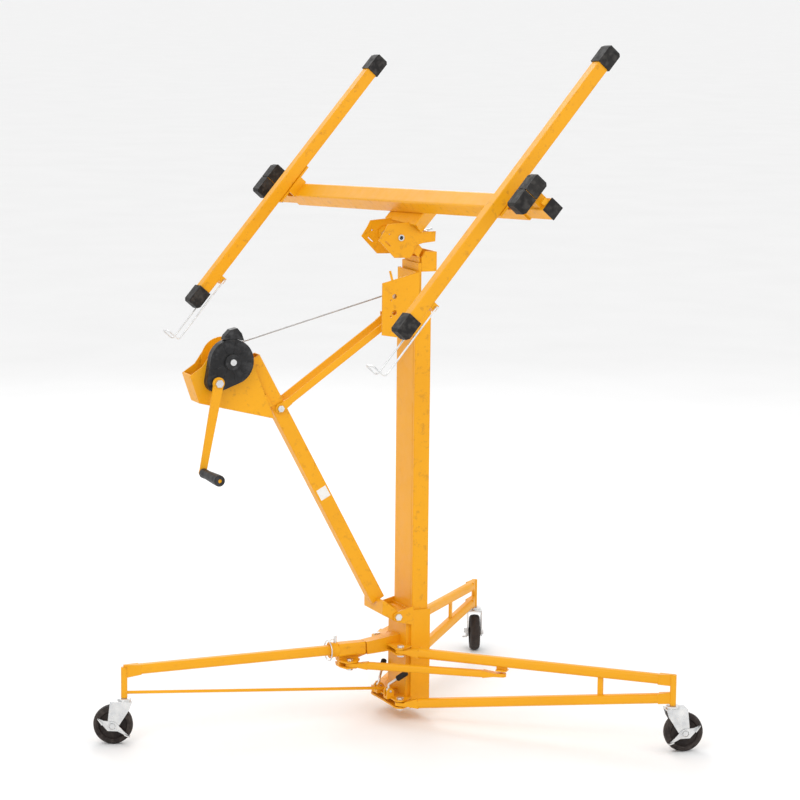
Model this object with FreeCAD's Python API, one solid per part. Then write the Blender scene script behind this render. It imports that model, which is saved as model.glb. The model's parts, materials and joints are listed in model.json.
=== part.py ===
"""Drywall lift: a three-section mast on a folding tripod, with a hand winch and a tilting panel cradle.

Frame: millimetres, +Z up, origin on the floor at the middle of the footprint. The winch and the main leg
point along -X, the crank is on the -Y side, and the panel cradle's crossbeam runs along Y. Sizes and shapes
below are given with the mast's axis at x = 0; the last step moves everything along +X to the finished frame.
"""
import FreeCAD, Part
import math
import os

V = FreeCAD.Vector
X_AXIS, Y_AXIS, Z_AXIS = V(1, 0, 0), V(0, 1, 0), V(0, 0, 1)
SIDES = (("near", -1), ("far", 1))          # near is the crank's side, -Y

# ---------------------------------------------------------------- driving sizes
CASTER_HEIGHT = 118.0
WHEEL_RADIUS = 50.0
WHEEL_WIDTH = 28.0
CASTER_TRAIL = 28.0
POST_TOP = 196.0                            # top of the vertical post at a leg's outer end
MAIN_LEG_REACH = 783.0
SIDE_LEG_END = (459.0, 576.0)               # x and |y| of a side leg's post
HINGE = (-62.0, 76.0)                       # x and |y| of a side leg's hinge pin
LEG_TUBE = 25.0

MAST_WIDTH, MAST_DEPTH = 118.0, 44.0        # along Y and along X
MAST_BOTTOM, MAST_TOP = 36.0, 1166.0
MAST_BACK_TOP = 1100.0                      # the sections' backs are cut down to this, to clear the cradle
MIDDLE_WIDTH, MIDDLE_DEPTH, MIDDLE_TOP = 104.0, 30.0, 1186.0
SECTION_X = 2.5                             # the sliding sections sit back, so the cable runs before them
INNER_WIDTH, INNER_DEPTH, INNER_TOP = 92.0, 22.0, 1200.0

ARM_PIVOT = (-64.0, 275.0)                  # x, z of the winch arm's foot bolt
ARM_FOOT = (-100.0, 314.0)                  # x, z of the arm tube's lower end
ARM_TOP = (-446.0, 960.0)                   # x, z of the arm tube's upper end
ARM_TUBE = 38.0
BRACE_LOW = (-376.0, 830.0)
BRACE_HIGH = (-66.0, 1046.0)
BRACE_Y = 23.5
DRUM_AXIS = (-516.0, 959.0)
PINION_OFFSET = (-41.0, -49.14)             # pinion from drum: 64 mm, half of 50 + 14 teeth of module 2
CRANK_END = (-42.0, -221.0)                 # grip's axis from the pinion's
PULLEY = (-36.0, 1093.0)
PULLEY_LINE = 20.0                          # radius of the cable's middle on the pulley
DRUM_LINE = 28.0
CABLE = 4.0

PIVOT = (-64.0, 1253.0)                     # x, z of the cradle's tilt pin
TILT = 48.3                                 # degrees, cradle as it stands
SWIVEL = 4.6                                # degrees, cradle turned on its neck
BEAM_CENTRE = (90.0, 32.0)                  # from the tilt pin, along the cradle and square to it
BEAM = 45.0
ARM_SPACING = 1225.0
ARM_REACH = 436.0
ARM_RISE = 61.0                             # arm's middle above the beam's middle
ARM = 32.0
OUTRIGGER_REACH = 104.0                     # cross piece outside the arm, pushed right in
FIT = 0.4                                   # clearance between faces that slide
STANCE = 159.0                              # the mast's distance from the footprint's middle, along +X


# ---------------------------------------------------------------- shapes
def box(x0, x1, y0, y1, z0, z1):
    return Part.makeBox(x1 - x0, y1 - y0, z1 - z0, V(x0, y0, z0))


def cylinder(start, end, radius):
    way = end - start
    return Part.makeCylinder(radius, way.Length, start, way)


def ring(start, end, radius, bore):
    way = end - start
    over = way.normalize() * 1.0
    return cylinder(start, end, radius).cut(cylinder(start - over, end + over, bore))


def plate_y(points, y0, y1):
    """A plate whose outline is (x, z) points, from y0 to y1."""
    wire = Part.makePolygon([V(x, y0, z) for x, z in points + points[:1]])
    return Part.Face(wire).extrude(V(0, y1 - y0, 0))


def plate_z(points, z0, z1):
    """A plate whose outline is (x, y) points, from z0 to z1."""
    wire = Part.makePolygon([V(x, y, z0) for x, y in points + points[:1]])
    return Part.Face(wire).extrude(V(0, 0, z1 - z0))


def fuse(shapes):
    joined = shapes[0]
    for shape in shapes[1:]:
        joined = joined.fuse(shape)
    return joined.removeSplitter()


def placed(shape, matrix):
    moved = shape.copy()
    moved.Placement = matrix.multiply(moved.Placement)
    return moved


def along(start, end, roll=0.0):
    """Placement whose +X runs from start to end, with its +Z as near to the world's as it goes."""
    ahead = (end - start).normalize()
    aside = Z_AXIS.cross(ahead)
    aside = aside.normalize() if aside.Length > 1e-6 else V(0, 1, 0)
    up = ahead.cross(aside)
    turn = FreeCAD.Rotation(ahead, aside, up, "XYZ")
    return FreeCAD.Placement(start, turn.multiply(FreeCAD.Rotation(X_AXIS, roll)))


def rounded_bar(length, width, height, corner):
    """A bar along +X, centred on it, with rounded long edges."""
    bar = box(0, length, -width / 2, width / 2, -height / 2, height / 2)
    long_edges = [e for e in bar.Edges if abs(e.Length - length) < 1e-6]
    return bar.makeFillet(corner, long_edges)


def square_tube(start, end, width, height, wall, corner=3.0, roll=0.0):
    length = (end - start).Length
    tube = rounded_bar(length, width, height, corner)
    bore = box(-1, length + 1, -width / 2 + wall, width / 2 - wall, -height / 2 + wall, height / 2 - wall)
    return placed(tube.cut(bore), along(start, end, roll))


def vertical_section(x, width, depth, wall, z0, z1, corner=4.0):
    outer = placed(rounded_bar(z1 - z0, width, depth, corner), along(V(x, 0, z0), V(x, 0, z1)))
    return outer.cut(box(x - depth / 2 + wall, x + depth / 2 - wall,
                         -width / 2 + wall, width / 2 - wall, z0 - 1, z1 + 1))


def hex_bolt(start, end, radius, head=None):
    """A bolt from its head at start to a nut at end."""
    head = head or radius * 1.75
    way = (end - start).normalize()
    shank = cylinder(start, end, radius)
    tall = radius * 1.1
    return fuse([shank, hexagon(start - way * tall, way, head, tall), hexagon(end, way, head, tall)])


def hexagon(base, way, radius, tall):
    frame = along(base, base + way)
    points = [V(0, radius * math.cos(math.radians(60 * k)), radius * math.sin(math.radians(60 * k)))
              for k in range(7)]
    return placed(Part.Face(Part.makePolygon(points)).extrude(V(tall, 0, 0)), frame)


def round_path(points, radius):
    """A wire through points, with an arc of the given radius at each corner between them."""
    edges = []
    last = points[0]
    for before, here, after in zip(points, points[1:], points[2:]):
        back, ahead = (before - here).normalize(), (after - here).normalize()
        half = back.getAngle(ahead) / 2
        cut = radius / math.tan(half)
        first, final = here + back * cut, here + ahead * cut
        bisector = (back + ahead).normalize()
        middle = here + bisector * (radius / math.sin(half) - radius)
        edges.append(Part.LineSegment(last, first).toShape())
        edges.append(Part.Arc(first, middle, final).toShape())
        last = final
    edges.append(Part.LineSegment(last, points[-1]).toShape())
    return Part.Wire(edges)


def wire_rod(points, radius, bend):
    path = round_path(points, bend)
    way = (points[1] - points[0]).normalize()
    profile = Part.Wire(Part.Circle(points[0], way, radius).toShape())
    return path.makePipeShell([profile], True, False)


def gear(centre_x, centre_z, y0, y1, module, teeth, bore, first_angle):
    """A spur gear about an axis along Y, with involute flanks and a little backlash."""
    pitch = module * teeth / 2
    base = pitch * math.cos(math.radians(20))
    tip, root = pitch + 0.75 * module, pitch - 1.15 * module
    half_tooth = math.pi / teeth / 2 * 0.9

    def flank(radius):
        if radius <= base:
            return half_tooth + roll_angle(pitch)
        return half_tooth + roll_angle(pitch) - roll_angle(radius)

    def roll_angle(radius):
        roll = math.sqrt((radius / base) ** 2 - 1)
        return roll - math.atan(roll)

    steps = [root] + [max(base, root) + (tip - max(base, root)) * k / 3 for k in range(4)]
    points = []
    for tooth in range(teeth):
        middle = first_angle + 2 * math.pi * tooth / teeth
        rise = [(r, middle - flank(r)) for r in steps]
        fall = [(r, middle + flank(r)) for r in reversed(steps)]
        points += [(centre_x + r * math.cos(a), centre_z + r * math.sin(a)) for r, a in rise + fall]
    body = plate_y(points, y0, y1)
    return body.cut(cylinder(V(centre_x, y0 - 1, centre_z), V(centre_x, y1 + 1, centre_z), bore))


def flat_end_tube(start, end, size, wide, thick, lap, hole, start_flat=True, end_flat=True):
    """A tube from start to end. Its ends are pressed into level tongues drilled for a vertical pin."""
    way = (end - start).normalize()
    level = V(way.x, way.y, 0).normalize()
    pieces = []
    tube_start, tube_end = start, end
    for flat, tip, sense in ((start_flat, start, 1), (end_flat, end, -1)):
        if not flat:
            continue
        inner = tip + way * (sense * lap)
        tongue = placed(box(0, lap, -wide / 2, wide / 2, -thick / 2, thick / 2),
                        along(tip, tip + level * sense))
        nose = Part.makeCylinder(wide / 2, thick, V(tip.x, tip.y, tip.z - thick / 2), Z_AXIS)
        flare_end = tip + way * (sense * (lap + size * 1.3))
        flare = loft_box(inner - way * (sense * 4), wide, thick, flare_end, size, size)
        pieces += [tongue, nose, flare]
        if sense > 0:
            tube_start = flare_end - way * 1.0
        else:
            tube_end = flare_end + way * 1.0
    bar = rounded_bar((tube_end - tube_start).Length, size, size, size * 0.36)
    pieces.append(placed(bar, along(tube_start, tube_end)))
    body = fuse(pieces)
    for flat, tip in ((start_flat, start), (end_flat, end)):
        if flat:
            body = body.cut(Part.makeCylinder(hole, 3 * size, V(tip.x, tip.y, tip.z - 1.5 * size), Z_AXIS))
    return body


def loft_box(start, wide0, high0, end, wide1, high1):
    """A solid that goes from one rectangle to another."""
    frame = along(start, end)
    length = (end - start).Length

    def rectangle(x, wide, high):
        corners = [V(x, -wide / 2, -high / 2), V(x, wide / 2, -high / 2), V(x, wide / 2, high / 2),
                   V(x, -wide / 2, high / 2)]
        return Part.makePolygon(corners + corners[:1])

    return placed(Part.makeLoft([rectangle(0, wide0, high0), rectangle(length, wide1, high1)], True, True),
                  frame)


# ---------------------------------------------------------------- base
LEG_Z = 188.0                               # middle of the main leg and of the upper hinge tongues
LOW_Z = 49.0                                # middle of the lower hinge tongues
TONGUE = 9.0                                # thickness of a pressed tube end
HINGE_PLATE = 4.0
PIN = 5.0
BORE = PIN + 0.06
STRUT_Z = 152.0
STRUT_PIN_X, STRUT_PIN_Y = -182.0, 25.0
STRUT_SHARE = 0.38                          # where the strut meets the side leg, along it
COLLAR = (-228.0, -134.0)


def hinge_plate(z0):
    """The level plate that carries both side legs' hinge pins, at one height."""
    ear = 15.0
    x, y = HINGE
    outline = [(-20, -60), (-20, 60), (x + ear * 0.7, y + ear * 0.7), (x, y + ear),
               (x - ear * 0.7, y + ear * 0.7),
               (x - ear, y), (x - ear * 0.9, 30), (x - ear * 0.9, -30), (x - ear, -y),
               (x - ear * 0.7, -y - ear * 0.7), (x, -y - ear), (x + ear * 0.7, -y - ear * 0.7)]
    return plate_z(outline, z0, z0 + HINGE_PLATE)


def hinge_gap(middle):
    """Half the gap between two hinge plates; the lower pair is wider, as its tube leaves it on a slope."""
    return TONGUE / 2 + (0.6 if middle == LEG_Z else 2.4)


def base_post():
    inner_x, inner_y = MAST_DEPTH / 2 + FIT, MAST_WIDTH / 2 + FIT
    wall, top, floor = 4.0, 290.0, 30.0
    sleeve = box(-inner_x - wall, inner_x + wall, -inner_y - wall, inner_y + wall, floor, top)
    channel = box(-38, -inner_x, -56, 56, 40, top - 6)
    stub = loft_box(V(-30, 0, LEG_Z + 11), 40, 40, V(-130, 0, LEG_Z), LEG_TUBE + 8, LEG_TUBE + 8)
    pieces = [sleeve, channel, stub]
    for middle in (LEG_Z, LOW_Z):
        gap = hinge_gap(middle)
        pieces += [hinge_plate(middle + gap), hinge_plate(middle - gap - HINGE_PLATE)]
    x, z = ARM_PIVOT
    for _, side in SIDES:
        y0, y1 = sorted((side * 59.8, side * 63.8))
        ear = plate_y([(-20, 250), (x, z - 14), (x - 12, z - 7), (x - 12, z + 7), (x, z + 14), (-20, 300)],
                      y0, y1)
        pieces.append(ear)
        lug_y0, lug_y1 = sorted((side * 20, side * 43))
        pieces.append(plate_y([(-84, 54), (-84, 74), (-78, 82), (-70, 82), (-64, 74), (-64, 54)], lug_y0,
                              lug_y1))
    body = fuse(pieces)
    body = body.cut(box(-inner_x, inner_x, -inner_y, inner_y, floor + wall, top + 20))
    half = LEG_TUBE / 2 + 0.1
    body = body.cut(box(-140, -60, -half, half, LEG_Z - half, LEG_Z + half))
    for _, side in SIDES:
        body = body.cut(Part.makeCylinder(BORE, 260, V(HINGE[0], side * HINGE[1], 0), Z_AXIS))
        slot_y0, slot_y1 = sorted((side * 25.5, side * 38.5))
        body = body.cut(box(-90, -58, slot_y0, slot_y1, 61, 90))
    body = body.cut(cylinder(V(x, -80, z), V(x, 80, z), BORE))
    return body.cut(cylinder(V(-74, -60, 74), V(-74, 60, 74), 3.06))


def foot_lever(side):
    """The lever beside the post's foot, with its rubber grip, that locks a side leg open."""
    low, knee, high = V(-74, side * 31, 74), V(-74, side * 31, 90), V(-44, side * 70, 126)
    way = (high - knee).normalize()
    eye = cylinder(V(-74, side * 26, 74), V(-74, side * 38, 74), 6.5)
    pin = cylinder(V(-74, side * 19, 74), V(-74, side * 44, 74), 3.0)
    rod = wire_rod([low, knee, high], 3.5, 8.0)
    return fuse([eye, pin, rod]), way, high


def foot_lever_rod(side):
    return foot_lever(side)[0]


def foot_lever_grip(side):
    _, way, high = foot_lever(side)
    grip = cylinder(high - way * 30, high + way * 3, 7.5)
    grip = grip.makeFillet(2.5, [e for e in grip.Edges if e.Curve.TypeId == "Part::GeomCircle"])
    return grip.cut(cylinder(high - way * 31, high, 3.5))


def fuse_apart(shapes):
    """Several separate solids kept in one node."""
    return Part.makeCompound(shapes)


def leg_hinge_bolts():
    bolts = []
    for _, side in SIDES:
        x, y = HINGE[0], side * HINGE[1]
        for middle in (LEG_Z, LOW_Z):
            reach = hinge_gap(middle) + HINGE_PLATE + 0.1
            bolts.append(hex_bolt(V(x, y, middle + reach), V(x, y, middle - reach), PIN))
    return fuse_apart(bolts)


def end_post(x, y):
    post = Part.makeCylinder(8, POST_TOP - CASTER_HEIGHT, V(x, y, CASTER_HEIGHT), Z_AXIS)
    return post


def post_bore(x, y):
    return Part.makeCylinder(STEM + 0.06, 46, V(x, y, CASTER_HEIGHT - 1), Z_AXIS)


def main_leg():
    end = V(-MAIN_LEG_REACH, 0, LEG_Z - 3)
    press = V(-MAIN_LEG_REACH + 40, 0, LEG_Z)
    tube = placed(rounded_bar(MAIN_LEG_REACH - 40 - 62, LEG_TUBE, LEG_TUBE, 8.0),
                  along(V(-62, 0, LEG_Z), press))
    flat = loft_box(press + V(1, 0, 0), LEG_TUBE, LEG_TUBE, end, 7, 34)
    rod = cylinder(V(-MAIN_LEG_REACH + 4, 0, 131), V(-38.3, 0, 70), 4.0)
    body = fuse([tube, flat, end_post(end.x, 0), rod])
    return body.cut(post_bore(end.x, 0))


def collar():
    x0, x1 = COLLAR
    half = LEG_TUBE / 2 + FIT
    body = placed(rounded_bar(x1 - x0 - 20, LEG_TUBE + 9, LEG_TUBE + 9, 6.0),
                  along(V(x1, 0, LEG_Z), V(x0, 0, LEG_Z)))
    flange = cylinder(V(x0, 0, LEG_Z), V(x0 + 5, 0, LEG_Z), 21)
    neck = cylinder(V(x0 + 4, 0, LEG_Z), V(x0 + 22, 0, LEG_Z), 19)
    gap = TONGUE / 2 + 0.6
    pieces = [body, flange, neck]
    outline = [(x1 - 14, -12), (x1 - 14, 12), (STRUT_PIN_X + 14, 38), (STRUT_PIN_X - 14, 38), (x0 + 24, 14),
               (x0 + 24, -14), (STRUT_PIN_X - 14, -38), (STRUT_PIN_X + 14, -38)]
    pieces.append(plate_z(outline, STRUT_Z + gap, STRUT_Z + gap + HINGE_PLATE))
    pieces.append(plate_z(outline, STRUT_Z - gap - HINGE_PLATE, STRUT_Z - gap))
    pieces.append(box(x0 + 24, x1 - 16, -7, 7, STRUT_Z - gap - 1, LEG_Z))
    body = fuse(pieces)
    body = body.cut(box(x0 - 1, x1 + 1, -half, half, LEG_Z - half, LEG_Z + half))
    for _, side in SIDES:
        pin = Part.makeCylinder(BORE, 60, V(STRUT_PIN_X, side * STRUT_PIN_Y, STRUT_Z - 30), Z_AXIS)
        body = body.cut(pin)
    return body.cut(Part.makeCylinder(4.1, 40, V(x0 + 15, 0, LEG_Z + 5), Z_AXIS))


def strut_bolts():
    reach = TONGUE / 2 + 0.6 + HINGE_PLATE + 0.1
    return fuse_apart([hex_bolt(V(STRUT_PIN_X, side * STRUT_PIN_Y, STRUT_Z + reach),
                                V(STRUT_PIN_X, side * STRUT_PIN_Y, STRUT_Z - reach), PIN, 8.0)
                       for _, side in SIDES])


def collar_pin():
    """The spring pin that locks the collar, and its wire ring, which hangs round the leg."""
    x, base = COLLAR[0] + 15, LEG_Z + LEG_TUBE / 2 + FIT
    ring_x, wire, ring_radius = COLLAR[0] - 3.5, 1.6, 26.0
    top = LEG_Z - 1 + ring_radius
    pin = Part.makeCylinder(4.0, 24, V(x, 0, base + 0.3), Z_AXIS)
    link = cylinder(V(ring_x, 0, top), V(x, 0, base + 18), wire)
    loop = Part.makeTorus(ring_radius, wire, V(ring_x, 0, LEG_Z - 1), X_AXIS)
    return fuse([pin, link, loop])


def strut_end(side):
    reach = STRUT_SHARE * math.dist((HINGE[0], HINGE[1]), SIDE_LEG_END)
    way = side_leg_way(side)
    return V(HINGE[0], side * HINGE[1], STRUT_Z) + way * reach


def side_leg_way(side):
    return V(SIDE_LEG_END[0] - HINGE[0], side * (SIDE_LEG_END[1] - HINGE[1]), 0).normalize()


def strut(side):
    start = V(STRUT_PIN_X, side * STRUT_PIN_Y, STRUT_Z)
    return flat_end_tube(start, strut_end(side), 19, 22, TONGUE, 24, BORE)


def side_leg(side):
    hinge_high = V(HINGE[0], side * HINGE[1], LEG_Z)
    hinge_low = V(HINGE[0], side * HINGE[1], LOW_Z)
    foot = V(SIDE_LEG_END[0], side * SIDE_LEG_END[1], 0)
    way = side_leg_way(side)
    end_high, end_low = foot + V(0, 0, LEG_Z - 6), foot + V(0, 0, 137)
    pieces = [end_post(foot.x, foot.y)]
    for start, end in ((hinge_high, end_high), (hinge_low, end_low)):
        ahead = (end - start).normalize()
        press = end - ahead * 36
        pieces.append(flat_end_tube(start, press, LEG_TUBE, 26, TONGUE, 20, BORE, end_flat=False))
        pieces.append(loft_box(press - ahead, LEG_TUBE, LEG_TUBE, end, 7, 30))
    share = 0.74
    high, low = hinge_high + (end_high - hinge_high) * share, hinge_low + (end_low - hinge_low) * share
    tie = placed(box(-7, 7, -3, 3, low.z, high.z), FreeCAD.Placement(
        V(high.x, high.y, 0), FreeCAD.Rotation(Z_AXIS, math.degrees(math.atan2(way.y, way.x)))))
    pieces.append(tie)
    bracket = strut_end(side)
    plate_low = STRUT_Z + 10.3
    hanger = box(-14, 14, -11, 11, plate_low, plate_low + HINGE_PLATE)
    cheek = box(-14, 14, -3, 3, plate_low, LEG_Z - 6)
    turn = FreeCAD.Placement(V(bracket.x, bracket.y, 0),
                             FreeCAD.Rotation(Z_AXIS, math.degrees(math.atan2(way.y, way.x))))
    pieces += [placed(hanger, turn), placed(cheek, turn)]
    return fuse(pieces).cut(post_bore(foot.x, foot.y))


# ---------------------------------------------------------------- casters
STEM = 5.5
AXLE = 4.0
CASTERS = (                                 # name, stem's x and y, trail in degrees, the lever's side
    ("main", (-MAIN_LEG_REACH, 0.0), 156.0, 1),
    ("near", (SIDE_LEG_END[0], -SIDE_LEG_END[1]), -14.0, -1),
    ("far", (SIDE_LEG_END[0], SIDE_LEG_END[1]), -112.0, -1),
)


def caster_place(spot, trail_angle):
    return FreeCAD.Placement(V(spot[0], spot[1], 0), FreeCAD.Rotation(Z_AXIS, trail_angle))


def caster_fork():
    """Stem, race and the two pressed cheeks that hold the axle; the wheel trails along +X."""
    top = CASTER_HEIGHT - 1.0
    stem = Part.makeCylinder(STEM, 40, V(0, 0, top), Z_AXIS)
    race = Part.makeCylinder(17, 6, V(0, 0, top - 6), Z_AXIS)
    crown = plate_z([(-20, -15), (-20, 15), (-8, 21), (34, 21), (34, -21), (-8, -21)], top - 9, top - 5.5)
    cheeks = []
    for y0 in (-21.0, 18.0):
        outline = [(-20, top - 6), (-14, top - 26), (16, 44), (22, 39), (34, 39), (40, 45), (40, 58),
                   (34, top - 6)]
        cheeks.append(plate_y(outline, y0, y0 + 3.0))
    body = fuse([stem, race, crown] + cheeks)
    return body.cut(cylinder(V(CASTER_TRAIL, -30, WHEEL_RADIUS), V(CASTER_TRAIL, 30, WHEEL_RADIUS),
                             AXLE + 0.05))


def caster_axle():
    return hex_bolt(V(CASTER_TRAIL, -21.1, WHEEL_RADIUS), V(CASTER_TRAIL, 21.1, WHEEL_RADIUS), AXLE, 7.5)


def caster_wheel():
    half = WHEEL_WIDTH / 2
    profile = [(AXLE + 0.06, -half - 2.5), (13, -half - 2.5), (15, -half + 2), (33, -half + 4), (36, -half),
               (WHEEL_RADIUS - 6, -half), (WHEEL_RADIUS - 1.5, -half + 4), (WHEEL_RADIUS, 0),
               (WHEEL_RADIUS - 1.5, half - 4), (WHEEL_RADIUS - 6, half), (36, half), (33, half - 4),
               (15, half - 2), (13, half + 2.5), (AXLE + 0.06, half + 2.5)]
    wire = Part.makePolygon([V(CASTER_TRAIL + r, y, WHEEL_RADIUS) for r, y in profile + profile[:1]])
    return Part.Face(wire).revolve(V(CASTER_TRAIL, 0, WHEEL_RADIUS), Y_AXIS, 360)


def caster_brake(side):
    """The wing-shaped lever on one cheek, which rocks round the axle's end and locks the wheel."""
    x, z = CASTER_TRAIL, WHEEL_RADIUS
    outline = [(x - 44, z - 27), (x - 30, z - 22), (x - 13, z - 13), (x + 12, z - 12), (x + 26, z + 4),
               (x + 37, z + 20),
               (x + 22, z + 14), (x + 6, z + 12), (x - 12, z + 5), (x - 28, z - 12)]
    y0, y1 = sorted((side * 21.4, side * 24.0))
    wing = plate_y(outline, y0, y1)
    step_y0, step_y1 = sorted((side * 23.0, side * 32.0))
    toes = [plate_y([(x - 44, z - 27), (x - 30, z - 22), (x - 31, z - 19), (x - 45, z - 24)], step_y0,
                    step_y1),
            plate_y([(x + 26, z + 4), (x + 37, z + 20), (x + 34, z + 19), (x + 23, z + 6)], step_y0, step_y1)]
    boss = cylinder(V(x, side * 21.4, z), V(x, side * 25.5, z), 11.5)
    body = fuse([wing, boss] + toes)
    return body.cut(cylinder(V(x, side * 15, z), V(x, side * 40, z), 8.3))


# ---------------------------------------------------------------- mast
def notch(x0):
    return box(x0, 60, -80, 80, MAST_BACK_TOP, 1300)


def mast_outer():
    body = vertical_section(0, MAST_WIDTH, MAST_DEPTH, 3.0, MAST_BOTTOM, MAST_TOP)
    body = body.cut(notch(-12))
    body = body.cut(box(-24, -17, -8, 8, PULLEY[1] - 28, PULLEY[1] + 28))
    seam_y = -MAST_WIDTH / 2 + 11
    for z0, z1 in ((312, 640), (655, 830), (865, 1080)):
        body = body.cut(box(-22.5, -21.0, seam_y, seam_y + 1.6, z0, z1))
    return body


def mast_middle():
    body = vertical_section(SECTION_X, MIDDLE_WIDTH, MIDDLE_DEPTH, 2.5, 58, MIDDLE_TOP, 3.0)
    return body.cut(notch(-4))


def mast_inner():
    body = vertical_section(SECTION_X, INNER_WIDTH, INNER_DEPTH, 2.0, 84, INNER_TOP, 2.5)
    return body.cut(notch(-4))


def glides(width, depth, gap_y, gap_front, gap_back, z0):
    """Nylon pads on a sliding section's foot, which run on the section around it."""
    tall = 50.0
    front, back = SECTION_X - depth / 2, SECTION_X + depth / 2
    pads = []
    for _, side in SIDES:
        y0, y1 = sorted((side * width / 2, side * (width / 2 + gap_y)))
        pads.append(box(front + 5, back - 5, y0, y1, z0, z0 + tall))
        middle = side * width * 0.3
        pads.append(box(front - gap_front, front, middle - 9, middle + 9, z0, z0 + tall))
        pads.append(box(back, back + gap_back, middle - 9, middle + 9, z0, z0 + tall))
    return fuse_apart(pads)


def head_bracket():
    """The guard plate on the mast's crank side and the two cheeks that hold the pulley and the braces."""
    half = MAST_WIDTH / 2
    guard = plate_y([(-14, 1005), (-70, 1000), (-116, 1008), (-116, 1140), (-14, 1165)], -half - 3.5,
                    -half - 0.1)
    finger = cylinder(V(-88, -half - 1.8, 1144), V(-95, -half - 1.8, 1170), 3.0)
    cheeks = []
    for _, side in SIDES:
        y0, y1 = sorted((side * 27, side * 30))
        cheeks.append(plate_y([(-22.1, 1026), (-80, 1030), (-82, 1056), (-58, 1064), (-48, 1112),
                               (-22.1, 1120)], y0, y1))
    web = box(-26, -22.1, -half - 3.5, 30, 1026, 1064)
    body = fuse([guard, finger, web] + cheeks)
    for z in (1105, 1064):
        body = body.cut(cylinder(V(-82, -half - 9, z), V(-82, -half + 9, z), 6.5))
        body = body.cut(cylinder(V(-92, -half - 9, z - 9), V(-92, -half + 9, z - 9), 2.5))
    body = body.cut(cylinder(V(PULLEY[0], -40, PULLEY[1]), V(PULLEY[0], 40, PULLEY[1]), BORE))
    return body.cut(cylinder(V(BRACE_HIGH[0], -40, BRACE_HIGH[1]), V(BRACE_HIGH[0], 40, BRACE_HIGH[1]), BORE))


def pulley():
    """The cable's pulley on the mast head: a grooved wheel about Y."""
    rim, groove, half = PULLEY_LINE + 2.5, PULLEY_LINE - CABLE / 2 - 0.2, 5.0
    profile = [(BORE, -half), (rim, -half), (rim, -half + 1.2), (groove, -1.4), (groove, 1.4),
               (rim, half - 1.2),
               (rim, half), (BORE, half)]
    wire = Part.makePolygon([V(PULLEY[0] + r, y, PULLEY[1]) for r, y in profile + profile[:1]])
    return Part.Face(wire).revolve(V(PULLEY[0], 0, PULLEY[1]), Y_AXIS, 360)


def cable_route():
    """Off the drum's top, straight to the pulley, over it and down inside the mast."""
    gap = V(PULLEY[0] - DRUM_AXIS[0], 0, PULLEY[1] - DRUM_AXIS[1])
    slope = math.atan2(gap.z, gap.x) + math.asin((DRUM_LINE - PULLEY_LINE) / gap.Length) * -1
    normal = V(-math.sin(slope), 0, math.cos(slope))
    ahead = V(math.cos(slope), 0, math.sin(slope))
    start = V(DRUM_AXIS[0], 0, DRUM_AXIS[1]) + normal * DRUM_LINE
    over = V(PULLEY[0], 0, PULLEY[1]) + normal * PULLEY_LINE
    down_x = PULLEY[0] + PULLEY_LINE
    corner = over + ahead * ((down_x - over.x) / ahead.x)
    return [start, corner, V(down_x, 0, 72)]


def winch_cable():
    return wire_rod(cable_route(), CABLE / 2, PULLEY_LINE)


# ---------------------------------------------------------------- winch
FRAME_HALF = 30.0                            # outer face of the winch frame's side plates
GEAR_MODULE, DRUM_TEETH, PINION_TEETH = 2.0, 50, 14
PINION_AXIS = (DRUM_AXIS[0] + PINION_OFFSET[0], DRUM_AXIS[1] + PINION_OFFSET[1])


def winch_arm():
    """The square tube that carries the winch, with the yoke at its foot."""
    low, high = V(ARM_FOOT[0], 0, ARM_FOOT[1]), V(ARM_TOP[0], 0, ARM_TOP[1])
    tube = square_tube(low, high, ARM_TUBE, ARM_TUBE, 2.5, 4.0)
    x, z = ARM_PIVOT
    cross = box(x - 42, x - 36, -59, 59, z + 8, z + 44)
    tongues = []
    for _, side in SIDES:
        y0, y1 = sorted((side * 54, side * 59.2))
        tongues.append(plate_y([(x - 42, z + 8), (x - 4, z - 13), (x + 9, z - 9), (x + 11, z + 6),
                                (x + 2, z + 14),
                                (x - 36, z + 44), (x - 42, z + 44)], y0, y1))
    body = fuse([tube, cross] + tongues)
    body = body.cut(cylinder(V(x, -80, z), V(x, 80, z), BORE))
    bx, bz = BRACE_LOW
    return body.cut(cylinder(V(bx, -80, bz), V(bx, 80, bz), BORE))


def brace(side):
    """One of the two flat-ended bars between the winch arm and the mast head."""
    start = V(BRACE_LOW[0], side * BRACE_Y, BRACE_LOW[1])
    end = V(BRACE_HIGH[0], side * BRACE_Y, BRACE_HIGH[1])
    way, length, lap = (end - start).normalize(), (end - start).Length, 18.0
    bar = placed(rounded_bar(length - 2 * lap - 24, 6.4, 18, 3.0), along(start + way * (lap + 12), end))
    pieces = [bar]
    for tip, sense in ((start, 1), (end, -1)):
        eye = cylinder(tip + V(0, -2.6, 0), tip + V(0, 2.6, 0), 12.5)
        neck = loft_box(tip + way * (sense * 4), 5.2, 22, tip + way * (sense * (lap + 14)), 6.4, 18)
        pieces += [eye, neck]
    body = fuse(pieces)
    for tip in (start, end):
        body = body.cut(cylinder(tip + V(0, -9, 0), tip + V(0, 9, 0), BORE))
    return body


def frame_bolts():
    """The bolts that hold the winch arm, the braces and the head pulley."""
    bolts = []
    x, z = ARM_PIVOT
    for _, side in SIDES:
        bolts.append(hex_bolt(V(x, side * 63.9, z), V(x, side * 53.9, z), PIN, 9.5))
    for (bx, bz), reach in ((BRACE_LOW, 26.3), (BRACE_HIGH, 30.1), (PULLEY, 30.1)):
        bolts.append(hex_bolt(V(bx, -reach, bz), V(bx, reach, bz), PIN, 9.0))
    return fuse_apart(bolts)


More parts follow.
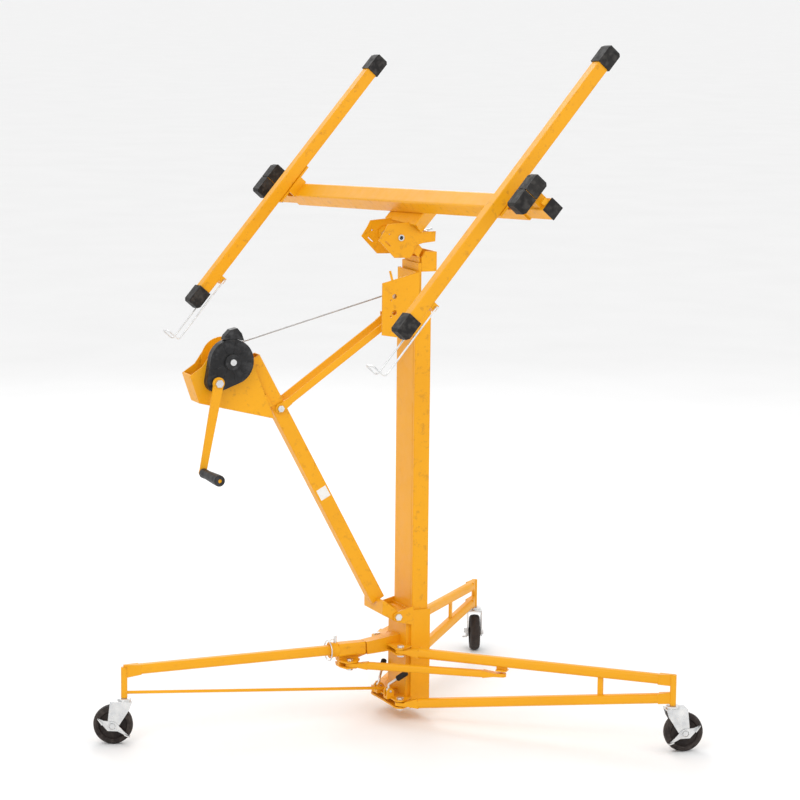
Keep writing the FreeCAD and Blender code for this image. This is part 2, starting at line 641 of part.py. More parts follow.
def winch_frame():
    """The pressed U that holds the drum: two side plates, a web at the operator's end and spacer pads."""
    outline = [(-394, 806), (-594, 856), (-618, 926), (-585, 948), (-556, 990), (-505, 1000), (-462, 975),
               (-440, 920)]
    pieces = []
    for _, side in SIDES:
        y0, y1 = sorted((side * (FRAME_HALF - 3), side * FRAME_HALF))
        pieces.append(plate_y(outline, y0, y1))
        pad_y0, pad_y1 = sorted((side * (ARM_TUBE / 2 + 0.1), side * (FRAME_HALF - 2.9)))
        pieces.append(plate_y([(-398, 838), (-414, 868), (-436, 862), (-420, 832)], pad_y0, pad_y1))
    pieces.append(plate_y([(-594, 856), (-618, 926), (-614, 928), (-590, 858)], -FRAME_HALF, FRAME_HALF))
    body = fuse(pieces)
    for ax, az in (DRUM_AXIS, PINION_AXIS):
        body = body.cut(cylinder(V(ax, -60, az), V(ax, 60, az), 8.1))
    return body


def winch_drum():
    """Core and two flanges, with the stack of cable wound on the core."""
    x, z = DRUM_AXIS
    core = ring(V(x, -22, z), V(x, 22, z), DRUM_LINE - CABLE / 2 - 0.1, 8.0)
    flanges = [ring(V(x, y, z), V(x, y + 3, z), 54, 8.0) for y in (-24.5, 21.5)]
    return fuse([core] + flanges)


def drum_shaft():
    x, z = DRUM_AXIS
    return fuse([cylinder(V(x, -64, z), V(x, 34, z), 8.0), cylinder(V(x, 31, z), V(x, 36, z), 13.0)])


def drum_gear():
    return gear(DRUM_AXIS[0], DRUM_AXIS[1], -44, -36, GEAR_MODULE, DRUM_TEETH, 8.0, mesh_angle())


def mesh_angle():
    """The direction from drum to pinion: the drum has a tooth there, and the pinion has a gap."""
    return math.atan2(PINION_OFFSET[1], PINION_OFFSET[0])


def pinion_shaft():
    x, z = PINION_AXIS
    first = mesh_angle() + math.pi + math.pi / PINION_TEETH
    teeth = gear(x, z, -46, -34, GEAR_MODULE, PINION_TEETH, 5.0, first)
    shaft = cylinder(V(x, -70, z), V(x, 34, z), 8.0)
    return fuse([teeth, shaft, hexagon(V(x, -77, z), Y_AXIS, 10.5, 7.2)])


def gear_cover():
    """The moulded pear-shaped cover over the gears, with a hub and shallow radial ribs."""
    x, z = DRUM_AXIS
    px, pz = PINION_AXIS
    back, front = -30.4, -54.0
    outer = cover_block(back, front, 57.0, 25.0)
    outer = outer.cut(cover_block(back + 1, front + 2.6, 54.2, 22.2))
    hub = ring(V(x, front + 1, z), V(x, front - 6, z), 20.0, 8.2)
    body = fuse([outer.cut(cylinder(V(x, front + 9, z), V(x, front - 9, z), 19.0)), hub])
    body = body.cut(cylinder(V(px, front + 9, pz), V(px, front - 9, pz), 9.0))
    return body.cut(cylinder(V(x, front + 9, z), V(x, front - 9, z), 8.2))


def cover_block(y0, y1, big, small):
    x, z = DRUM_AXIS
    px, pz = PINION_AXIS
    span = math.hypot(*PINION_OFFSET)
    lean = math.acos((big - small) / span)
    toward = mesh_angle()
    corners = []
    for turn in (lean, -lean):
        dx, dz = math.cos(toward + turn), math.sin(toward + turn)
        pair = [(x + big * dx, z + big * dz), (px + small * dx, pz + small * dz)]
        corners += pair if turn > 0 else pair[::-1]
    low, high = sorted((y0, y1))
    return fuse([cylinder(V(x, low, z), V(x, high, z), big), cylinder(V(px, low, pz), V(px, high, pz), small),
                 plate_y(corners, low, high)])


def pawl_cover():
    """The black housing over the pawl, on top of the winch."""
    x, z = DRUM_AXIS
    outline = [(x - 22, z + 56), (x - 18, z + 66), (x - 4, z + 80), (x + 14, z + 84), (x + 26, z + 70),
               (x + 32, z + 52)]
    body = plate_y(outline, -52, -31)
    return body.cut(cylinder(V(x, -60, z), V(x, -20, z), 57.6))


def crank_arm():
    x, z = PINION_AXIS
    ex, ez = x + CRANK_END[0], z + CRANK_END[1]
    way = V(CRANK_END[0], 0, CRANK_END[1]).normalize()
    side = V(way.z, 0, -way.x)
    top, end = V(x, 0, z), V(ex, 0, ez)
    points = [top + side * 13, top - side * 13, end - side * 9, end + side * 9]
    bar = plate_y([(p.x, p.z) for p in points], -69.6, -64.6)
    eyes = [cylinder(V(x, -69.6, z), V(x, -64.6, z), 15), cylinder(V(ex, -69.6, ez), V(ex, -64.6, ez), 10)]
    spindle = cylinder(V(ex, -66, ez), V(ex, -188, ez), 5.0)
    body = fuse([bar, spindle] + eyes)
    return body.cut(cylinder(V(x, -80, z), V(x, -50, z), 8.0))


def crank_grip():
    x, z = PINION_AXIS[0] + CRANK_END[0], PINION_AXIS[1] + CRANK_END[1]
    profile = [(BORE, -71), (11, -71), (12.5, -76), (11.5, -100), (14, -165), (14, -186), (12, -190),
               (BORE, -190)]
    wire = Part.makePolygon([V(x + r, y, z) for r, y in profile + profile[:1]])
    return Part.Face(wire).revolve(V(x, 0, z), Y_AXIS, 360)


# ---------------------------------------------------------------- cradle
CHEEK_IN, CHEEK_OUT = 53.0, 57.0             # |y| of the tilting head's cheeks
LATCH, LATCH_ROD = (58.0, -47.0), 4.0        # the latch rod's place in the tilting head, and its radius
NECK_TOP = BEAM_CENTRE[1] - BEAM / 2 - 0.4   # the turning face between the head and the beam


def tilt_frame():
    return FreeCAD.Placement(V(PIVOT[0], 0, PIVOT[1]), FreeCAD.Rotation(Y_AXIS, -TILT))


def cradle_frame():
    swing = FreeCAD.Placement(V(BEAM_CENTRE[0], 0, BEAM_CENTRE[1]), FreeCAD.Rotation(Z_AXIS, SWIVEL))
    return tilt_frame().multiply(swing)


def head_block():
    """The forked block on the inner section: it holds the tilt pin, and seats the latch rod when level."""
    x, z = PIVOT
    back = -3.8
    pieces = []
    for _, side in SIDES:
        y0, y1 = sorted((side * (CHEEK_IN - 5), side * (CHEEK_IN - 0.6)))
        pieces.append(plate_y([(x, z - 16), (x + 14, z - 20), (-14, 1202), (back, 1201), (back, 1164),
                               (38, 1164),
                               (38, 1214), (4, 1216), (x + 30, z + 4), (x + 14, z + 16), (x, z + 20),
                               (x - 15, z + 10), (x - 15, z - 8)], y0, y1))
    pieces.append(box(34, 38, -CHEEK_IN + 0.6, CHEEK_IN - 0.6, 1164, 1214))
    pieces.append(box(back, 36, -CHEEK_IN + 0.6, CHEEK_IN - 0.6, 1164, 1168))
    pieces.append(box(-6.4, back + 0.1, -43.8, 43.8, 1160, 1199))
    pieces.append(box(back, 38, -CHEEK_IN + 0.6, CHEEK_IN - 0.6, 1176, 1180))
    body = fuse(pieces).cut(cylinder(V(x, -70, z), V(x, 70, z), 8.06))
    rest = V(x + LATCH[0], 0, z + LATCH[1])
    over = V(10.5, 0, 17.5)
    room = LATCH_ROD + 1.0
    aside = V(over.z, 0, -over.x).normalize() * room
    corners = [rest - aside, rest + over - aside, rest + over + aside, rest + aside]
    seat = fuse([plate_y([(p.x, p.z) for p in corners], -60, 60),
                 cylinder(rest - V(0, 60, 0), rest + V(0, 60, 0), room)])
    return body.cut(seat)


def tilt_pin():
    x, z = PIVOT
    return ring(V(x, -CHEEK_OUT - 3, z), V(x, CHEEK_OUT + 3, z), 8.0, 5.0)


def tilt_head():
    """Two cheeks on the tilt pin, joined by the plate that the crossbeam turns on."""
    across, top = BEAM_CENTRE[0], NECK_TOP
    outline = [(44, top), (2, 50), (-14, 46), (-44, 42), (-49, -21), (-22, -53), (-10, -53), (3, -48),
               (14, -46),
               (29, -56), (54, -79), (74, -63), (46, -32), (51, -16), (66, -20), (72, top)]
    pieces = []
    for _, side in SIDES:
        y0, y1 = sorted((side * CHEEK_IN, side * CHEEK_OUT))
        pieces.append(plate_y(outline, y0, y1))
    flare, drop, wall = 90, 40, 4
    deck = box(40, across + 22, -flare, flare, top - wall, top)
    wings = []
    for _, side in SIDES:
        corners = [(CHEEK_IN, top - drop), (CHEEK_OUT, top - drop - wall), (flare, top - wall), (flare, top),
                   (flare - 2 * wall, top)]
        points = [V(44, side * y, n) for y, n in corners]
        wings.append(Part.Face(Part.makePolygon(points + points[:1])).extrude(V(across + 18 - 44, 0, 0)))
    body = fuse(pieces + [deck] + wings)
    body = body.cut(cylinder(V(0, -70, 0), V(0, 70, 0), 8.06))
    body = body.cut(box(-36, -33, -70, 70, 8, 27))
    body = body.cut(cylinder(V(-14, -70, 30), V(-14, 70, 30), 2.0))
    body = body.cut(cylinder(V(across, 0, -20), V(across, 0, top + 10), 8.06))
    return placed(body, tilt_frame())


def tilt_latch():
    """The spring rod between the cheeks' arms that holds the cradle level."""
    a, n = LATCH
    rod = cylinder(V(a, -CHEEK_IN + 0.4, n), V(a, CHEEK_IN - 0.4, n), LATCH_ROD)
    pull = cylinder(V(a, -30, n), V(a + 20, -30, n - 15), 3.0)
    return placed(fuse([rod, pull]), tilt_frame())


def cradle_part(shape):
    return placed(shape, cradle_frame())


def crossbeam():
    half = ARM_SPACING / 2 + 22
    beam = placed(rounded_bar(2 * half, BEAM, BEAM, 5.0), along(V(0, -half, 0), V(0, half, 0)))
    bore = ARM_TUBE / 2 - 0.5 + FIT
    beam = beam.cut(box(-bore, bore, -half - 1, half + 1, -bore, bore))
    seats = []
    for _, side in SIDES:
        y = side * ARM_SPACING / 2
        seats.append(box(-26, 26, y - 22, y + 22, BEAM / 2 - 1, ARM_RISE - ARM / 2 - 0.1))
        seats.append(box(-62, 62, y - 18, y + 18, ARM_RISE - ARM / 2 - 5, ARM_RISE - ARM / 2 - 0.1))
    body = fuse([beam] + seats)
    for _, side in SIDES:
        y = side * ARM_SPACING / 2
        body = body.cut(box(-40, 40, y - 17, y + 17, BEAM / 2, ARM_RISE - ARM / 2 - 5))
    return cradle_part(body.cut(cylinder(V(0, 0, -40), V(0, 0, 0), 8.06)))


def swivel_bolt():
    """From under the head's deck into the beam, with its nut inside."""
    under = BEAM / 2
    inside = -ARM_TUBE / 2 + 0.2
    return fuse([cylinder(V(0, 0, -under - 12), V(0, 0, inside + 9), 8.0),
                 hexagon(V(0, 0, inside), Z_AXIS, 14, 8),
                 hexagon(V(0, 0, -under - 13), Z_AXIS, 14, 8)])


def arm(side):
    y = side * ARM_SPACING / 2
    cap = 4.0
    tube = square_tube(V(-ARM_REACH + cap, y, ARM_RISE), V(ARM_REACH - cap, y, ARM_RISE), ARM, ARM, 1.8, 3.0)
    x, under, seat = -ARM_REACH + 105, ARM_RISE - ARM / 2 - 9, ARM_RISE - ARM / 2 + 0.5
    saddle = box(x - 8, x + 8, y - 15, y + 15, under - 6, seat)
    saddle = saddle.cut(cylinder(V(x, y - 30, under), V(x, y + 30, under), 3.06))
    return cradle_part(fuse([tube, saddle]))


def arm_caps():
    caps = []
    for _, side in SIDES:
        y = side * ARM_SPACING / 2
        for end in (-1, 1):
            caps.append(end_cap(V(end * ARM_REACH, y, ARM_RISE), V(-end, 0, 0), ARM, 52))
    return cradle_part(fuse_apart(caps))


def end_cap(tip, inward, size, length):
    """A square rubber cap with a bevelled end, pushed over a tube's end."""
    wide = size + 6
    shell = fuse([loft_box(tip, wide - 8, wide - 8, tip + inward * 7, wide, wide),
                  loft_box(tip + inward * 6.5, wide, wide, tip + inward * length, wide, wide)])
    bore = loft_box(tip + inward * 3.9, size + 0.2, size + 0.2, tip + inward * (length + 5), size + 0.2,
                    size + 0.2)
    return shell.cut(bore)


def cradle_bolts():
    """The swivel bolt under the beam, and the bolts that hold the two arms on it."""
    bolts = [swivel_bolt()]
    for _, side in SIDES:
        y = side * ARM_SPACING / 2
        for ahead in (-14, 14):
            bolts.append(hexagon(V(ahead, y, ARM_RISE - ARM / 2 - 9.2), Z_AXIS, 6, 4))
    return cradle_part(fuse_apart(bolts))


CROSS_BACK = -8.0                            # the outrigger's cross piece, behind the beam's middle


def outrigger(side):
    """The telescoping end of the crossbeam, with the short cross piece that carries the panel's edge."""
    inner = side * (ARM_SPACING / 2 - 330)
    outer = side * (ARM_SPACING / 2 + OUTRIGGER_REACH + 28)
    tube = square_tube(V(0, inner, 0), V(0, outer, 0), ARM_TUBE - 1, ARM_TUBE - 1, 2.0, 3.0)
    y = side * (ARM_SPACING / 2 + OUTRIGGER_REACH)
    riser = box(-14, 14, y - 14, y + 14, ARM_TUBE / 2 - 1, ARM_RISE - ARM / 2 + 1)
    cross = placed(rounded_bar(88, ARM, ARM, 3.0), along(V(CROSS_BACK - 44, y, ARM_RISE),
                                                         V(CROSS_BACK + 44, y, ARM_RISE)))
    tab = box(-8, 8, min(outer, outer - side * 4), max(outer, outer - side * 4), ARM_TUBE / 2 - 2,
              ARM_TUBE / 2 + 13)
    return cradle_part(fuse([tube, riser, cross, tab]))


def outrigger_caps(side):
    """Two rubber caps that all but meet on the cross piece, and the plug in the tube's end."""
    y = side * (ARM_SPACING / 2 + OUTRIGGER_REACH)
    rise = 1.0 + ARM_TUBE / 2
    caps = []
    for end in (-1, 1):
        cap = end_cap(V(CROSS_BACK + end * 48, y, ARM_RISE), V(-end, 0, 0), ARM, 47)
        caps.append(cap.cut(box(-18, 18, y - 14.4, y + 14.4, rise, ARM_RISE)))
    tip, bore = side * (ARM_SPACING / 2 + OUTRIGGER_REACH + 28), ARM_TUBE - 5.4
    half = (ARM_TUBE - 1) / 2
    flange = box(-half, half, min(tip + side * 0.1, tip + side * 4), max(tip + side * 0.1, tip + side * 4),
                 -half, half)
    plug = loft_box(V(0, tip + side * 0.2, 0), bore, bore, V(0, tip - side * 20, 0), bore - 1, bore - 1)
    return cradle_part(fuse_apart(caps + [fuse([flange, plug])]))


def panel_hook(side):
    """The wire hook that holds the panel's lower edge: two rods on a cross pin, bent up into a loop."""
    y, wire = side * ARM_SPACING / 2, 2.2
    start, reach, rise = -ARM_REACH + 105, 205.0, 38.0
    under = ARM_RISE - ARM / 2 - 9
    end = start - reach
    half = 21.0
    points = [V(start, y - half, under), V(end, y - half, under), V(end, y - half, under + rise),
              V(end, y + half, under + rise), V(end, y + half, under), V(start, y + half, under)]
    rod = wire_rod(points, wire, 9.0)
    pin = cylinder(V(start, y - half - 4, under), V(start, y + half + 4, under), 3.0)
    return cradle_part(fuse([rod, pin]))


# ---------------------------------------------------------------- the nodes
def all_nodes():
    nodes = {
        "base_post": base_post(), "leg_hinge_bolts": leg_hinge_bolts(),
        "main_leg": main_leg(), "collar": collar(), "collar_pin": collar_pin(), "strut_bolts": strut_bolts(),
        "mast_outer": mast_outer(), "mast_middle": mast_middle(), "mast_inner": mast_inner(),
        "middle_glides": glides(MIDDLE_WIDTH, MIDDLE_DEPTH, 3.6, 6.1, 1.1, 60),
        "inner_glides": glides(INNER_WIDTH, INNER_DEPTH, 3.1, 1.1, 1.1, 86),
        "head_bracket": head_bracket(), "head_pulley": pulley(),
        "winch_cable": winch_cable(), "winch_arm": winch_arm(), "frame_bolts": frame_bolts(),
        "winch_frame": winch_frame(), "winch_drum": winch_drum(), "drum_shaft": drum_shaft(),
        "drum_gear": drum_gear(), "pinion_shaft": pinion_shaft(), "gear_cover": gear_cover(),
        "pawl_cover": pawl_cover(), "crank_arm": crank_arm(), "crank_grip": crank_grip(),
        "head_block": head_block(), "tilt_pin": tilt_pin(), "tilt_head": tilt_head(),
        "tilt_latch": tilt_latch(),
        "crossbeam": crossbeam(), "arm_caps": arm_caps(), "cradle_bolts": cradle_bolts(),
    }
    for name, side in SIDES:
        nodes["foot_lever_" + name] = foot_lever_rod(side)
        nodes["foot_lever_grip_" + name] = foot_lever_grip(side)
        nodes["strut_" + name] = strut(side)
        nodes["side_leg_" + name] = side_leg(side)
        nodes["brace_" + name] = brace(side)
        nodes["cross_arm_" + name] = arm(side)
        nodes["outrigger_" + name] = outrigger(side)
        nodes["outrigger_caps_" + name] = outrigger_caps(side)
        nodes["panel_hook_" + name] = panel_hook(side)
    for name, spot, angle, lever_side in CASTERS:
        place = caster_place(spot, angle)
        nodes["caster_fork_" + name] = placed(fuse_apart([caster_fork(), caster_axle()]), place)
        nodes["caster_wheel_" + name] = placed(caster_wheel(), place)
        nodes["caster_brake_" + name] = placed(caster_brake(lever_side), place)
    return nodes


def main():
    os.makedirs("parts", exist_ok=True)
    nodes = all_nodes()
    stance = FreeCAD.Placement(V(STANCE, 0, 0), FreeCAD.Rotation())
    for name, local in nodes.items():
        shape = placed(local, stance)
        if not shape.isValid():
            print("not valid:", name)
        shape.exportStep("parts/%s.step" % name)
    print(len(nodes), "nodes")


main()
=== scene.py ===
import json
import math

import bpy
from mathutils import Matrix, Vector


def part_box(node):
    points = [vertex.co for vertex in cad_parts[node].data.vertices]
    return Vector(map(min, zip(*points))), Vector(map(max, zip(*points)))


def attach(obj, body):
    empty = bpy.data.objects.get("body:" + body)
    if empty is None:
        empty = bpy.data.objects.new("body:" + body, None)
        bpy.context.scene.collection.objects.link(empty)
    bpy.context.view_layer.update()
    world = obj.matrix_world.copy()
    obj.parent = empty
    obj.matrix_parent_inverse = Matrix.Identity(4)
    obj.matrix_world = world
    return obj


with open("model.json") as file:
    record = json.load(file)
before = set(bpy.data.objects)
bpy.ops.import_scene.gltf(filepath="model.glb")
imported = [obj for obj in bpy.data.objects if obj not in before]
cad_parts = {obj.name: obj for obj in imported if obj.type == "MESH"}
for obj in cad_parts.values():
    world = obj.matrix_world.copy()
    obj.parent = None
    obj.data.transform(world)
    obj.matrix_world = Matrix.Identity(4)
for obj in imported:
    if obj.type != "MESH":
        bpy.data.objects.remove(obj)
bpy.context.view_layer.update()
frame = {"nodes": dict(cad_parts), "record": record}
NODES = frame["nodes"]
MM = 0.001


def middle_of(node):
    """The middle of a CAD node's box, in metres."""
    low_corner, high_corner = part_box(node)
    return (Vector(low_corner) + Vector(high_corner)) / 2


MAST_X = middle_of("mast_outer").x


def at(x, y, z):
    """A point in the row frame, from millimetres measured with the mast's axis at x = 0."""
    return Vector((MAST_X + x * MM, y * MM, z * MM))


# ---------------------------------------------------------------- materials
class Look:
    """A material under construction, with short calls for the shader nodes that the looks share."""

    def __init__(self, name):
        self.material = bpy.data.materials.new(name)
        self.material.use_nodes = True
        self.tree = self.material.node_tree
        self.shader = self.tree.nodes["Principled BSDF"]
        self.place = self.add("ShaderNodeTexCoord").outputs["Object"]

    def add(self, kind, **settings):
        node = self.tree.nodes.new(kind)
        for key, value in settings.items():
            setattr(node, key, value)
        return node

    def link(self, source, target):
        self.tree.links.new(source, target)

    def noise(self, scale, detail=3.0, roughness=0.5):
        """Noise with this many features to the metre."""
        node = self.add("ShaderNodeTexNoise")
        node.inputs["Scale"].default_value = scale
        node.inputs["Detail"].default_value = detail
        node.inputs["Roughness"].default_value = roughness
        self.link(self.place, node.inputs["Vector"])
        return node.outputs["Fac"]

    def ramp(self, value, low, high, out_low=0.0, out_high=1.0):
        node = self.add("ShaderNodeMapRange")
        node.inputs["From Min"].default_value = low
        node.inputs["From Max"].default_value = high
        node.inputs["To Min"].default_value = out_low
        node.inputs["To Max"].default_value = out_high
        self.link(value, node.inputs["Value"])
        return node.outputs["Result"]

    def multiply(self, a, b):
        node = self.add("ShaderNodeMath", operation="MULTIPLY")
        self.link(a, node.inputs[0])
        self.link(b, node.inputs[1])
        return node.outputs[0]

    def mix(self, factor, a, b):
        """A colour between a and b, each a colour or another node's output."""
        node = self.add("ShaderNodeMix", data_type="RGBA")
        self.link(factor, node.inputs["Factor"])
        for socket, value in ((node.inputs[6], a), (node.inputs[7], b)):
            if isinstance(value, tuple):
                socket.default_value = (*value, 1.0)
            else:
                self.link(value, socket)
        return node.outputs[2]

    def edges(self, low=0.52, high=0.6):
        """1 on sharp outer edges, 0 on flats."""
        return self.ramp(self.add("ShaderNodeNewGeometry").outputs["Pointiness"], low, high)

    def bump(self, layers, edge_radius=0.0):
        """Stacks (height, distance in metres, strength) layers, over rounded edges if a radius is given."""
        normal = None
        if edge_radius:
            rounded = self.add("ShaderNodeBevel", samples=4)
            rounded.inputs["Radius"].default_value = edge_radius
            normal = rounded.outputs["Normal"]
        for height, distance, strength in layers:
            node = self.add("ShaderNodeBump")
            node.inputs["Distance"].default_value = distance
            node.inputs["Strength"].default_value = strength
            self.link(height, node.inputs["Height"])
            if normal:
                self.link(normal, node.inputs["Normal"])
            normal = node.outputs["Normal"]
        self.link(normal, self.shader.inputs["Normal"])

    def set(self, **sockets):
        names = {"color": "Base Color", "metallic": "Metallic", "roughness": "Roughness",
                 "coat": "Coat Weight", "coat_roughness": "Coat Roughness", "specular": "Specular IOR Level"}
        for key, value in sockets.items():
            socket = self.shader.inputs[names[key]]
            if isinstance(value, tuple):
                socket.default_value = (*value, 1.0)
            elif isinstance(value, (int, float)):
                socket.default_value = value
            else:
                self.link(value, socket)


def powder_coat():
    look = Look("orange_powder_coat")
    cloud = look.noise(5.0, 4.0)
    speck = look.noise(260.0, 2.0)
    color = look.mix(look.ramp(cloud, 0.3, 0.7), (0.78, 0.340, 0.002), (0.84, 0.380, 0.003))
    color = look.mix(look.ramp(speck, 0.62, 0.75, 0.0, 0.16), color, (0.60, 0.25, 0.012))
    worn = look.multiply(look.edges(), look.ramp(look.noise(60.0, 5.0, 0.7), 0.56, 0.66, 0.0, 0.35))
    color = look.mix(worn, color, (0.36, 0.13, 0.02))
    grime = look.ramp(look.noise(14.0, 6.0, 0.65), 0.58, 0.8, 0.0, 0.08)
    color = look.mix(grime, color, (0.45, 0.19, 0.03))
    look.set(color=color, roughness=look.ramp(look.noise(40.0, 4.0), 0.3, 0.7, 0.38, 0.52), coat=0.08,
             coat_roughness=0.25, specular=0.28)
    peel, waves = look.noise(420.0, 2.0), look.noise(55.0, 2.0)
    look.bump([(peel, 0.0004, 0.22), (waves, 0.0006, 0.12)], edge_radius=1.2 * MM)
    return look.material


def zinc_plate():
    look = Look("zinc_plate")
    patch = look.noise(45.0, 4.0)
    color = look.mix(look.ramp(patch, 0.3, 0.7), (0.60, 0.61, 0.62), (0.80, 0.80, 0.79))
    tarnish = look.ramp(look.noise(90.0, 5.0, 0.7), 0.6, 0.8, 0.0, 0.5)
    color = look.mix(tarnish, color, (0.42, 0.40, 0.36))
    look.set(color=color, metallic=0.92, roughness=look.ramp(look.noise(150.0, 3.0), 0.3, 0.7, 0.22, 0.42))
    look.bump([(look.noise(500.0, 2.0), 0.0002, 0.25)], edge_radius=0.7 * MM)
    return look.material


def wire_rope():
    look = Look("wire_rope")
    wave = look.add("ShaderNodeTexWave", wave_type="BANDS", bands_direction="DIAGONAL")
    wave.inputs["Scale"].default_value = 160.0
    wave.inputs["Distortion"].default_value = 0.6
    look.link(look.place, wave.inputs["Vector"])
    color = look.mix(wave.outputs["Fac"], (0.28, 0.28, 0.28), (0.72, 0.72, 0.71))
    look.set(color=color, metallic=0.85, roughness=look.ramp(look.noise(200.0), 0.3, 0.7, 0.3, 0.5))
    look.bump([(wave.outputs["Fac"], 0.0008, 0.9)])
    return look.material


def moulded(name, dark, light, low, high, grain, depth):
    """Plastic or rubber with dust and grain; low and high bound its roughness."""
    look = Look(name)
    dust = look.ramp(look.noise(24.0, 6.0, 0.65), 0.42, 0.75)
    color = look.mix(dust, dark, light)
    rubbed = look.multiply(look.edges(), look.ramp(look.noise(80.0, 4.0), 0.45, 0.65, 0.0, 0.6))
    color = look.mix(rubbed, color, tuple(2.2 * c for c in light))
    look.set(color=color, roughness=look.ramp(look.noise(70.0, 4.0), 0.3, 0.7, low, high), specular=0.25)
    look.bump([(look.noise(grain, 2.0), depth, 0.35)], edge_radius=1 * MM)
    return look.material


def label_paper():
    look = Look("label_paper")
    scuff = look.ramp(look.noise(90.0, 5.0, 0.6), 0.5, 0.75, 0.0, 0.6)
    look.set(color=look.mix(scuff, (0.80, 0.79, 0.75), (0.62, 0.58, 0.48)),
             roughness=look.ramp(look.noise(50.0, 3.0), 0.3, 0.7, 0.4, 0.6))
    return look.material


LOOKS = {
    "orange_paint": powder_coat(),
    "zinc_steel": zinc_plate(),
    "wire_rope": wire_rope(),
    "black_plastic": moulded("black_plastic", (0.012, 0.012, 0.013), (0.03, 0.03, 0.031),
                             0.38, 0.55, 700.0, 0.0003),
    "black_rubber": moulded("black_rubber", (0.011, 0.010, 0.010), (0.028, 0.026, 0.024),
                            0.5, 0.7, 500.0, 0.0004),
    "wheel_tread": moulded("wheel_tread", (0.014, 0.009, 0.008), (0.05, 0.04, 0.034),
                           0.48, 0.7, 400.0, 0.0005),
    "nylon": moulded("nylon", (0.62, 0.62, 0.58), (0.74, 0.73, 0.68),
                     0.35, 0.5, 600.0, 0.0002),
}

for part in frame["record"]["subparts"]:
    slots = NODES[part["node"]].data.materials
    slots.clear()
    slots.append(LOOKS[part["material_slot"]])


# ---------------------------------------------------------------- small visual pieces
def piece(name, mesh, body, look):
    """Puts a mesh in the scene with a look, moving with a CAD body."""
    shape = bpy.data.objects.new(name, mesh)
    bpy.context.scene.collection.objects.link(shape)
    mesh.materials.append(look)
    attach(shape, body)
    return shape


def box_mesh(name, centre, half, axes):
    """A block centred at a point; the columns of axes are the directions of its three half sizes."""
    corners = [Vector((sx * half[0], sy * half[1], sz * half[2]))
               for sx in (-1, 1) for sy in (-1, 1) for sz in (-1, 1)]
    faces = [(0, 1, 3, 2), (4, 6, 7, 5), (0, 4, 5, 1), (2, 3, 7, 6), (0, 2, 6, 4), (1, 5, 7, 3)]
    mesh = bpy.data.meshes.new(name)
    mesh.from_pydata([tuple(centre + axes @ c) for c in corners], [], faces)
    mesh.validate()
    return mesh


COVER_HUB_PROUD = 6 * MM                    # the hub stands this far out of the gear cover's face
RIB_COUNT = 9
RIB_INNER, RIB_OUTER = 22 * MM, 50 * MM
RIB_HALF_HEIGHT, RIB_HALF_WIDTH = 0.7 * MM, 0.6 * MM

ARM_FOOT, ARM_TOP = at(-100, 0, 314), at(-446, 0, 960)      # ends of the winch arm's tube
ARM_TUBE = 38 * MM
LABEL_SHARE = 0.45                          # how far up the arm the label sits
LABEL_HALF = (14 * MM, 0.25 * MM, 15 * MM)


def cover_ribs():
    """Thin radial ribs moulded on the gear cover's face, from the hub towards the rim."""
    hub = middle_of("drum_shaft")
    face_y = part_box("gear_cover")[0][1] + COVER_HUB_PROUD
    half = ((RIB_OUTER - RIB_INNER) / 2, RIB_HALF_HEIGHT, RIB_HALF_WIDTH)
    for k in range(RIB_COUNT):
        turn = 2 * math.pi * k / RIB_COUNT
        ray = Vector((math.cos(turn), 0, math.sin(turn)))
        centre = Vector((hub.x, face_y, hub.z)) + ray * (RIB_INNER + RIB_OUTER) / 2
        axes = Matrix((ray, Vector((0, 1, 0)), ray.cross(Vector((0, 1, 0))))).transposed()
        name = "gear_cover_rib_%d" % (k + 1)
        piece(name, box_mesh(name, centre, half, axes), "base", LOOKS["black_plastic"])


def arm_label():
    """A plain white band stuck on the winch arm's near side, square to the tube."""
    up = (ARM_TOP - ARM_FOOT).normalized()
    across = up.cross(Vector((0, 1, 0)))
    axes = Matrix((across, Vector((0, 1, 0)), up)).transposed()
    centre = ARM_FOOT + (ARM_TOP - ARM_FOOT) * LABEL_SHARE - Vector((0, ARM_TUBE / 2, 0))
    piece("arm_label", box_mesh("arm_label", centre, LABEL_HALF, axes), "base", label_paper())


cover_ribs()
arm_label()


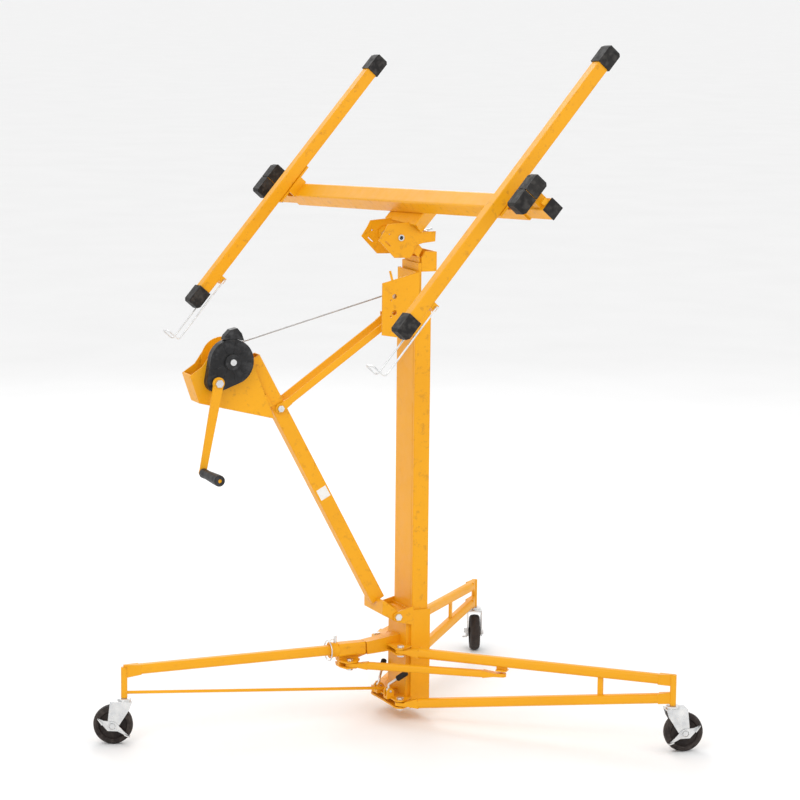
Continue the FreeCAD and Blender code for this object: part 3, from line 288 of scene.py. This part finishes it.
# ---------------------------------------------------------------- floor, light and camera
def area_light(name, place, target, size, power):
    data = bpy.data.lights.new(name, "AREA")
    data.shape = "DISK"
    data.size = size
    data.energy = power
    lamp = bpy.data.objects.new(name, data)
    lamp.location = place
    lamp.rotation_euler = (Vector(target) - Vector(place)).to_track_quat("-Z", "Y").to_euler()
    bpy.context.scene.collection.objects.link(lamp)


def floor():
    half = 200.0                            # wide enough for its edge to lie at the horizon
    mesh = bpy.data.meshes.new("floor")
    corners = [(-half, -half, 0), (half, -half, 0), (half, half, 0), (-half, half, 0)]
    mesh.from_pydata(corners, [], [(0, 1, 2, 3)])
    plane = bpy.data.objects.new("floor", mesh)
    bpy.context.scene.collection.objects.link(plane)
    look = Look("floor_paint")
    tone = look.ramp(look.noise(2.0, 3.0), 0.3, 0.7)
    look.set(color=look.mix(tone, (0.88, 0.88, 0.88), (0.90, 0.90, 0.90)), roughness=0.8)
    mesh.materials.append(look.material)


def camera():
    """A long lens at the height of a standing person's raised hand, with a slight roll."""
    forward = Vector((0.4031, 0.9011, -0.1599)).normalized()
    level = forward.cross(Vector((0, 0, 1))).normalized()
    upright = level.cross(forward)
    roll = math.radians(0.6)
    right = level * math.cos(roll) + upright * math.sin(roll)
    up = upright * math.cos(roll) - level * math.sin(roll)
    data = bpy.data.cameras.new("camera")
    data.lens, data.sensor_width = 130.9, 36.0
    data.clip_end = 1000.0
    eye = bpy.data.objects.new("camera", data)
    turn = Matrix((right, up, -forward)).transposed().to_4x4()
    eye.matrix_world = Matrix.Translation(at(-3042, -6718, 2021)) @ turn
    bpy.context.scene.collection.objects.link(eye)
    bpy.context.scene.camera = eye


def studio():
    world = bpy.data.worlds.new("studio")
    world.use_nodes = True
    background = world.node_tree.nodes["Background"]
    background.inputs["Color"].default_value = (1.0, 1.0, 1.0, 1.0)
    background.inputs["Strength"].default_value = 1.0
    bpy.context.scene.world = world
    bpy.context.scene.view_settings.view_transform = "Standard"
    middle = (0, 0, 0.9)
    area_light("key", (-3.5, -3.5, 4.5), middle, 2.5, 70.0)
    area_light("fill", (4.0, -3.0, 2.5), middle, 3.0, 25.0)
    area_light("rim", (1.0, 4.0, 3.5), middle, 2.5, 60.0)


floor()
studio()
camera()
